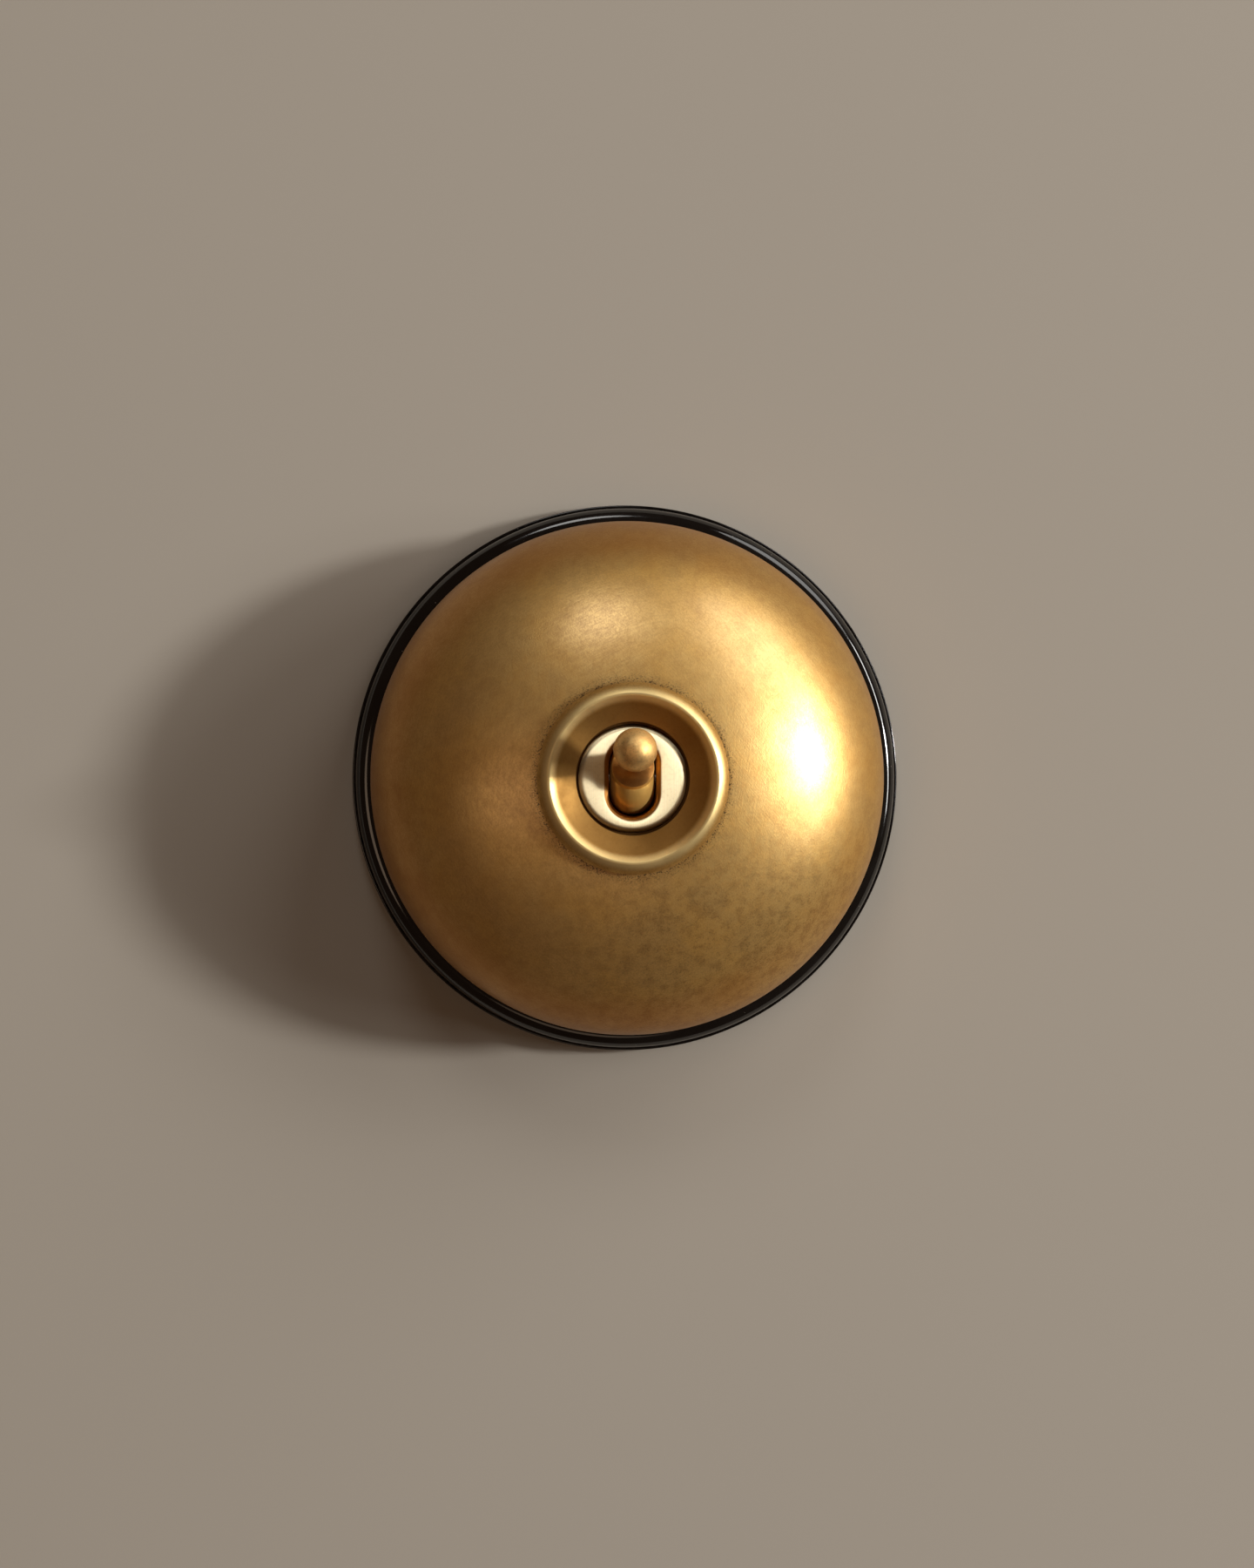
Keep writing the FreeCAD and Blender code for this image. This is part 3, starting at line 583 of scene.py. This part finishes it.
# %% Axis distance
axis_group, start, end = start_group(
    "axis_distance", [("Vector", "NodeSocketVector", None)], ["Radius", "Turn"])
parts = add_node(axis_group, "ShaderNodeSeparateXYZ", {"Vector": start.outputs["Vector"]}).outputs
square_x = sum_of(axis_group, "MULTIPLY", parts["X"], parts["X"])
square_z = sum_of(axis_group, "MULTIPLY", parts["Z"], parts["Z"])
radius_m = sum_of(axis_group, "SQRT", sum_of(axis_group, "ADD", square_x, square_z))
axis_group.links.new(sum_of(axis_group, "DIVIDE", radius_m, MM), end.inputs["Radius"])
turn_angle = sum_of(axis_group, "ARCTAN2", parts["Z"], parts["X"])
axis_group.links.new(turn_angle, end.inputs["Turn"])
print(axis_group.name, "gives millimetres and radians")

# %% Tarnish
tarnish_group, start, end = start_group(
    "tarnish",
    [
        ("Vector", "NodeSocketVector", None),
        ("Patch Size", "NodeSocketFloat", 10.0),
        ("Speck Size", "NodeSocketFloat", 0.8),
    ],
    ["Patches", "Specks"],
)
cloud_roughness = 0.6
for size, label, detail, low, high in (
    ("Patch Size", "Patches", 5.0, 0.36, 0.66),
    ("Speck Size", "Specks", 3.0, 0.48, 0.66),
):
    fineness = sum_of(tarnish_group, "DIVIDE", 1.0 / MM, start.outputs[size])
    cloud = add_node(tarnish_group, "ShaderNodeTexNoise", {
        "Vector": start.outputs["Vector"],
        "Scale": fineness,
        "Detail": detail,
        "Roughness": cloud_roughness,
    })
    tarnish_group.links.new(fade(tarnish_group, cloud.outputs["Fac"], low, high), end.inputs[label])
print(tarnish_group.name, "gives clouds and specks")

# %% Hand rubbing
rubbing_group, start, end = start_group(
    "hand_rubbing",
    [
        ("Vector", "NodeSocketVector", None),
        ("Stroke Width", "NodeSocketFloat", 0.3),
    ],
    ["Strokes"],
)
stroke_stretch = 9.0
stroke_angles = (12.0, 64.0, -38.0)
stroke_start = 0.36
stroke_end = 0.64
widths = sum_of(rubbing_group, "DIVIDE", 1.0 / MM, start.outputs["Stroke Width"])
scaled = add_node(rubbing_group, "ShaderNodeVectorMath", {
    0: start.outputs["Vector"],
    "Scale": widths,
}, operation="SCALE").outputs["Vector"]
strokes = 0.0
for angle in stroke_angles:
    turned_strokes = add_node(rubbing_group, "ShaderNodeMapping", {
        "Vector": scaled,
        "Location": (angle, angle, angle),
        "Rotation": (0, math.radians(angle), 0),
        "Scale": (1, 1, stroke_stretch),
    }, vector_type="TEXTURE")
    cloud = add_node(rubbing_group, "ShaderNodeTexNoise", {
        "Vector": turned_strokes.outputs["Vector"],
        "Scale": 1.0,
        "Detail": 1.0,
    })
    strokes = sum_of(rubbing_group, "ADD", strokes, cloud.outputs["Fac"])
share = sum_of(rubbing_group, "DIVIDE", strokes, float(len(stroke_angles)))
rubbing_group.links.new(fade(rubbing_group, share, stroke_start, stroke_end), end.inputs["Strokes"])
print(rubbing_group.name, "in", len(stroke_angles), "directions")

# %% Lathe lines
lathe_group, start, end = start_group(
    "lathe_lines",
    [
        ("Distance", "NodeSocketFloat", 0.0),
        ("Pitch", "NodeSocketFloat", 0.1),
    ],
    ["Lines"],
)
along = sum_of(lathe_group, "DIVIDE", start.outputs["Distance"], start.outputs["Pitch"])
lines = add_node(lathe_group, "ShaderNodeTexNoise", {"W": along, "Scale": 1.0, "Detail": 2.0},
                 noise_dimensions="1D")
lathe_group.links.new(lines.outputs["Fac"], end.inputs["Lines"])
print(lathe_group.name, "follow a distance")

# %% Dust
dust_group, start, end = start_group(
    "dust",
    [
        ("Vector", "NodeSocketVector", None),
        ("Spacing", "NodeSocketFloat", 2.0),
        ("Speck Share", "NodeSocketFloat", 0.06),
    ],
    ["Dust"],
)
fineness = sum_of(dust_group, "DIVIDE", 1.0 / MM, start.outputs["Spacing"])
cells = add_node(dust_group, "ShaderNodeTexVoronoi", {"Vector": start.outputs["Vector"], "Scale": fineness})
inside = sum_of(dust_group, "LESS_THAN", cells.outputs["Distance"], start.outputs["Speck Share"])
dust_group.links.new(inside, end.inputs["Dust"])
print(dust_group.name, "gives scattered specks")

# %% [markdown]
# A finish starts from the same three nodes every time: the place on the piece, a Principled shader and the
# output. The helper makes them, and each finish below adds its own colours, gloss and fine relief.

# %% Finish helper
finishes = {}


def start_finish(slot, **settings):
    """Material for one of the record's slots, with its tree, its place on the piece and its shader."""
    material = bpy.data.materials.new(slot + "_finish")
    material.use_nodes = True
    tree = material.node_tree
    shader = tree.nodes["Principled BSDF"]
    for name, value in settings.items():
        shader.inputs[name.replace("_", " ")].default_value = value
    place = add_node(tree, "ShaderNodeTexCoord").outputs["Object"]
    finishes[slot] = material
    return tree, place, shader


def tint(tree, colour, mask, share, tone):
    """Colour with a share of another tone laid over it where a mask is 1."""
    return blend(tree, sum_of(tree, "MULTIPLY", mask, share), colour, tone)


def set_relief(tree, shader, height, depth):
    """Fine relief on a shader, from a height between 0 and 1 and its depth in metres."""
    bump = add_node(tree, "ShaderNodeBump", {"Height": height, "Distance": depth})
    tree.links.new(bump.outputs["Normal"], shader.inputs["Normal"])


print("finish helper ready")

# %% [markdown]
# The dome's brass has been darkened and rubbed back by hand: golden where it was rubbed, brown in clouds,
# with fine dark specks low down and a line of old polish left in the crease round the collar.
# Flat brass with noise on top would look dirty all over, so each sign has its own mask and its own place.

# %% Aged brass of the dome
tree, place, shader = start_finish("aged_brass", Coat_Roughness=0.3)
axis = use_group(tree, axis_group, {"Vector": place})
tarnish = use_group(tree, tarnish_group, {"Vector": place, "Patch Size": 11.0, "Speck Size": 0.55})
fine = use_group(tree, tarnish_group, {"Vector": place, "Patch Size": 1.8, "Speck Size": 0.25})
rubbed = use_group(tree, rubbing_group, {"Vector": place, "Stroke Width": 0.2})
sides = add_node(tree, "ShaderNodeSeparateXYZ", {"Vector": place}).outputs
low_down = fade(tree, sides["Z"], 4.0 * MM, -28.0 * MM)
at_right = fade(tree, sides["X"], -26.0 * MM, 14.0 * MM)
speckled = sum_of(tree, "MULTIPLY", low_down, at_right)

colour = blend(tree, tarnish["Patches"], paint(234, 194, 118), paint(220, 176, 96))
colour = tint(tree, colour, fine["Patches"], 0.18, paint(172, 124, 62))
colour = tint(tree, colour, rubbed["Strokes"], 0.36, paint(176, 122, 54))
dots = fade(tree, sum_of(tree, "ADD", fine["Patches"], fine["Specks"]), 0.2, 2.0)
dots = sum_of(tree, "MULTIPLY", dots, fade(tree, speckled, 0.0, 1.0, 0.08, 0.42))
colour = blend(tree, dots, colour, paint(106, 66, 28))
# Darker coppery band near the rim: partly the dome's own tone, and partly painted shade, since it is laid on
# about twice as strong on the left, the side away from the lamps.
rim_tone_and_painted_shade = fade(tree, axis["Radius"], 31.0, 36.5)
rim_tone_and_painted_shade = sum_of(tree, "MULTIPLY", rim_tone_and_painted_shade, fade(tree, sides["X"], 0.0, 30.0 * MM, 0.55, 0.25))
colour = blend(tree, rim_tone_and_painted_shade, colour, paint(144, 82, 28))
at_edge = fade(tree, axis["Radius"], 38.4, 40.0, 0.0, 0.4)
colour = blend(tree, at_edge, colour, paint(176, 124, 66))
crease = fade(tree, axis["Radius"], 16.4, 14.5)
crease = sum_of(tree, "MULTIPLY", crease, fade(tree, fine["Specks"], 0.0, 1.0, 0.12, 0.9))
colour = blend(tree, crease, colour, paint(56, 42, 20))
tree.links.new(colour, shader.inputs["Base Color"])

rough = fade(tree, tarnish["Patches"], 0.0, 1.0, 0.37, 0.42)
rough = sum_of(tree, "ADD", rough, sum_of(tree, "MULTIPLY", rubbed["Strokes"], 0.06))
tree.links.new(rough, shader.inputs["Roughness"])
tree.links.new(fade(tree, tarnish["Patches"], 0.0, 1.0, 0.82, 0.76), shader.inputs["Metallic"])
tree.links.new(fade(tree, axis["Radius"], 28.0, 36.0, 1.0, 0.1), shader.inputs["Coat Weight"])
set_relief(tree, shader, rubbed["Strokes"], 0.006 * MM)
dome.data.materials.append(finishes["aged_brass"])
print("aged brass", len(tree.nodes), "nodes")

# %% [markdown]
# The collar was turned on a lathe: brown satin brass with faint lathe lines and strokes of rubbing. Its crest
# is paler, partly from rubbing and partly as a painted highlight; its dish is darker, partly its own tone and
# partly painted shade; and its narrow mouth is painted dark as shade. All of these follow the radius, so they
# come from the distance to the axis.

# %% Turned brass of the collar
tree, place, shader = start_finish("turned_brass", Metallic=0.85)
axis = use_group(tree, axis_group, {"Vector": place})
tarnish = use_group(tree, tarnish_group, {"Vector": place, "Patch Size": 5.0, "Speck Size": 0.4})
lathe = use_group(tree, lathe_group, {"Distance": axis["Radius"], "Pitch": 0.12})
rubbed = use_group(tree, rubbing_group, {"Vector": place, "Stroke Width": 0.15})
off_crest = sum_of(tree, "ABSOLUTE", sum_of(tree, "SUBTRACT", axis["Radius"], crest_radius / MM))
# Paler crest: partly rubbed wear, and partly a painted highlight line along the crest.
crest_wear_and_highlight = fade(tree, off_crest, 1.4, 0.3)
# Darker dish: partly its own tone, and partly painted shade in the hollow inside the crest.
dish_tone_and_shade = fade(tree, axis["Radius"], crest_radius / MM - 0.4, crest_radius / MM - 1.6)
# Painted shade: the narrow gap round the neck is painted dark brown.
mouth_painted_shade = fade(tree, axis["Radius"], mouth_radius / MM + 0.08, mouth_radius / MM)
colour = blend(tree, tarnish["Patches"], paint(212, 170, 98), paint(192, 148, 80))
colour = tint(tree, colour, dish_tone_and_shade, 0.85, paint(134, 98, 46))
colour = tint(tree, colour, tarnish["Specks"], 0.25, paint(124, 86, 40))
colour = tint(tree, colour, rubbed["Strokes"], 0.3, paint(146, 104, 48))
colour = tint(tree, colour, crest_wear_and_highlight, 0.8, paint(252, 226, 160))
colour = tint(tree, colour, mouth_painted_shade, 0.8, paint(84, 56, 26))
tree.links.new(colour, shader.inputs["Base Color"])
rough = fade(tree, tarnish["Patches"], 0.0, 1.0, 0.42, 0.50)
rough = sum_of(tree, "ADD", rough, sum_of(tree, "MULTIPLY", dish_tone_and_shade, 0.08))
tree.links.new(rough, shader.inputs["Roughness"])
set_relief(tree, shader, lathe["Lines"], 0.002 * MM)
collar.data.materials.append(finishes["turned_brass"])
print("turned brass", len(tree.nodes), "nodes")

# %% [markdown]
# The neck's face is bright brass with fine upright brushing. The brushing throws light sideways, which is why
# the face shines though the lamp stands far to the right. Roughness alone can't do that, so the shader is
# stretched along the level direction, and fine upright lines break the shine up.

# %% Pale brass of the neck
tree, place, shader = start_finish("pale_brass", Metallic=1.0, Anisotropic=0.95)
tarnish = use_group(tree, tarnish_group, {"Vector": place, "Patch Size": 3.0, "Speck Size": 0.5})
sides = add_node(tree, "ShaderNodeSeparateXYZ", {"Vector": place}).outputs
across = sum_of(tree, "DIVIDE", sides["X"], MM)
lathe = use_group(tree, lathe_group, {"Distance": across, "Pitch": 0.09})
colour = blend(tree, lathe["Lines"], paint(255, 250, 226), paint(245, 220, 160))
below_face = fade(tree, sides["Y"], 0.002 * MM - neck_face, 0.06 * MM - neck_face)
in_slot = fade(tree, use_group(tree, axis_group, {"Vector": place})["Radius"], 7.15, 6.75)
colour = blend(tree, sum_of(tree, "MULTIPLY", below_face, in_slot), colour, paint(160, 110, 54))
colour = tint(tree, colour, tarnish["Specks"], 0.10, paint(150, 112, 60))
tree.links.new(colour, shader.inputs["Base Color"])
tree.links.new(fade(tree, lathe["Lines"], 0.3, 0.7, 0.50, 0.58), shader.inputs["Roughness"])
set_relief(tree, shader, lathe["Lines"], 0.004 * MM)
neck.data.materials.append(finishes["pale_brass"])
print("pale brass", len(tree.nodes), "nodes")

# %% [markdown]
# Fingers have worn the dolly. It is a soft gold on the ball, orange on the waist and smoother below the ball,
# with fine brushing along its length. The root below is a brighter gold, partly polish and partly a painted
# glow of light bounced about the slot. Its pattern has to lie along the tipped lever, so a Mapping node
# turns it.

# %% Worn brass of the dolly
joints = {joint["name"]: joint for joint in frame["record"]["behaviour"]["joints"]}
pivot = Vector(joints["dolly_swing"]["pos_m"])
dolly_tip_up = joints["dolly_swing"]["range_deg"][1] / 2
tree, place, shader = start_finish("dolly_brass")
along = add_node(tree, "ShaderNodeMapping", {
    "Vector": place,
    "Location": tuple(pivot),
    "Rotation": (math.radians(-dolly_tip_up), 0, 0),
}, vector_type="TEXTURE").outputs["Vector"]
axis = use_group(tree, axis_group, {"Vector": along})
tarnish = use_group(tree, tarnish_group, {"Vector": along, "Patch Size": 2.2, "Speck Size": 0.35})
lathe = use_group(tree, lathe_group, {"Distance": axis["Turn"], "Pitch": 0.05})
sides = add_node(tree, "ShaderNodeSeparateXYZ", {"Vector": along}).outputs
root_polish_and_glow = fade(tree, sides["Y"], -5.7 * MM, -5.5 * MM)
below_ball = fade(tree, sides["Y"], -12.9 * MM, -12.5 * MM)
waist_only = sum_of(tree, "SUBTRACT", below_ball, root_polish_and_glow)
colour = blend(tree, tarnish["Patches"], paint(252, 210, 138), paint(236, 186, 114))
colour = tint(tree, colour, tarnish["Specks"], 0.25, paint(140, 94, 48))
colour = tint(tree, colour, waist_only, 0.7, paint(186, 118, 50))
# Brighter gold root: partly polish, and partly a painted glow for light bounced about the slot; the lower
# metallic there adds to that glow.
colour = blend(tree, root_polish_and_glow, colour, paint(254, 204, 112))
tree.links.new(colour, shader.inputs["Base Color"])
rough = fade(tree, tarnish["Patches"], 0.0, 1.0, 0.46, 0.54)
rough = sum_of(tree, "SUBTRACT", rough, sum_of(tree, "MULTIPLY", below_ball, 0.16))
tree.links.new(rough, shader.inputs["Roughness"])
tree.links.new(fade(tree, root_polish_and_glow, 0.0, 1.0, 0.92, 0.65), shader.inputs["Metallic"])
set_relief(tree, shader, lathe["Lines"], 0.014 * MM)
print("dolly brass", len(tree.nodes), "nodes")

# %% [markdown]
# The base is a gloss black moulding. Pure black looks like a hole, so it has a trace of brown grey, a shine
# that wavers a little, faint rubbing and a few specks of dust.

# %% Gloss black of the base
tree, place, shader = start_finish("black_moulding", IOR=1.62)
tarnish = use_group(tree, tarnish_group, {"Vector": place, "Patch Size": 9.0, "Speck Size": 0.4})
rubbed = use_group(tree, rubbing_group, {"Vector": place, "Stroke Width": 0.2})
dust = use_group(tree, dust_group, {"Vector": place, "Spacing": 1.6, "Speck Share": 0.045})
colour = blend(tree, tarnish["Patches"], paint(12, 11, 10), paint(18, 17, 16))
colour = tint(tree, colour, dust["Dust"], 0.6, paint(150, 142, 130))
tree.links.new(colour, shader.inputs["Base Color"])
rough = fade(tree, tarnish["Patches"], 0.0, 1.0, 0.06, 0.12)
rough = sum_of(tree, "ADD", rough, sum_of(tree, "MULTIPLY", dust["Dust"], 0.5))
tree.links.new(rough, shader.inputs["Roughness"])
set_relief(tree, shader, rubbed["Strokes"], 0.0004 * MM)
base_edge.data.materials.append(finishes["black_moulding"])
print("black moulding", len(tree.nodes), "nodes")

# %% [markdown]
# Inside, the metal is plain: machined brass, zinc plated steel and silver contacts. They differ only in
# colour and gloss, so one loop makes all three from the same signs of tooling.

# %% Plain metals inside
for slot, bright, dull, smooth, matt in (
    ("plain_brass", paint(226, 188, 112), paint(196, 152, 78), 0.24, 0.36),
    ("steel", paint(196, 196, 192), paint(160, 160, 156), 0.28, 0.42),
    ("silver", paint(232, 231, 226), paint(196, 194, 188), 0.22, 0.36),
):
    tree, place, shader = start_finish(slot, Metallic=1.0)
    tarnish = use_group(tree, tarnish_group, {"Vector": place, "Patch Size": 3.0, "Speck Size": 0.3})
    rubbed = use_group(tree, rubbing_group, {"Vector": place, "Stroke Width": 0.12})
    colour = blend(tree, tarnish["Patches"], bright, dull)
    tree.links.new(colour, shader.inputs["Base Color"])
    tree.links.new(fade(tree, rubbed["Strokes"], 0.0, 1.0, smooth, matt), shader.inputs["Roughness"])
    set_relief(tree, shader, rubbed["Strokes"], 0.0015 * MM)
    print(slot, len(tree.nodes), "nodes")

# %% [markdown]
# The plunger's spring sits in the dolly's tail, out of sight. A stiff one would be cut by the plunger as
# that slides in. It is coiled again here: a spin that climbs sweeps one wire, and the coil fills the room
# between the plunger's end and the end of the bore.

# %% Coil the spring
spring_wire_radius = 0.22 * MM
spring_coil_radius = 1.36 * MM
spring_end_room = 0.24 * MM
spring_turns = 5
spring_turn_steps = 24
spring_wire_sides = 12
bore_end = -3.0 * MM
plunger_end = -7.0 * MM

spring_room = bore_end - plunger_end
spring_steps = spring_turns * spring_turn_steps
climb = (spring_room - 2 * spring_end_room) / spring_steps
wire_start = Matrix.Translation((spring_coil_radius, 0, plunger_end + spring_end_room))
wire_start @= Matrix.Rotation(math.radians(90.0), 4, "X")
coil = bmesh.new()
bmesh.ops.create_circle(
    coil, cap_ends=True, radius=spring_wire_radius, segments=spring_wire_sides, matrix=wire_start)
bmesh.ops.spin(
    coil,
    geom=coil.verts[:] + coil.edges[:] + coil.faces[:],
    cent=(0, 0, 0),
    axis=(0, 0, 1),
    dvec=(0, 0, climb),
    angle=math.radians(360.0 * spring_turns),
    steps=spring_steps,
)
bmesh.ops.recalc_face_normals(coil, faces=coil.faces)
to_room(coil, tip=dolly_tip_up, out=-pivot.y)
spring = finished(coil, "coil_spring")
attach(spring, "dolly_lever")
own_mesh(spring)
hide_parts("plunger_spring")
spring.data.materials.append(finishes["steel"])

# %% [markdown]
# The insulating pieces are a brown moulded body, a red-brown fibre sheet and an off-white plunger. Again one
# loop serves: each has clouds of two near colours, and a grain whose depth sets it apart.

# %% Mouldings inside
for slot, light, dark, dullness, grain in (
    ("phenolic", paint(74, 48, 34), paint(52, 34, 26), 0.38, 0.004),
    ("fibre", paint(150, 88, 58), paint(116, 62, 42), 0.70, 0.012),
    ("nylon", paint(226, 220, 202), paint(208, 200, 180), 0.45, 0.003),
):
    tree, place, shader = start_finish(slot)
    tarnish = use_group(tree, tarnish_group, {"Vector": place, "Patch Size": 2.0, "Speck Size": 0.25})
    colour = blend(tree, tarnish["Patches"], light, dark)
    tree.links.new(colour, shader.inputs["Base Color"])
    rough = fade(tree, tarnish["Specks"], 0.0, 1.0, dullness - 0.05, dullness + 0.08)
    tree.links.new(rough, shader.inputs["Roughness"])
    set_relief(tree, shader, tarnish["Specks"], grain * MM)
    print(slot, len(tree.nodes), "nodes")

# %% [markdown]
# Each solid of the frame names its slot in the record, so the finishes are handed out from there.
# That way no solid can be forgotten, and a solid added later gets its finish too.

# %% Dress the solids
for part in frame["record"]["subparts"]:
    solid = frame["nodes"][part["node"]]
    for holder in solid.material_slots:
        holder.material = finishes[part["material_slot"]]
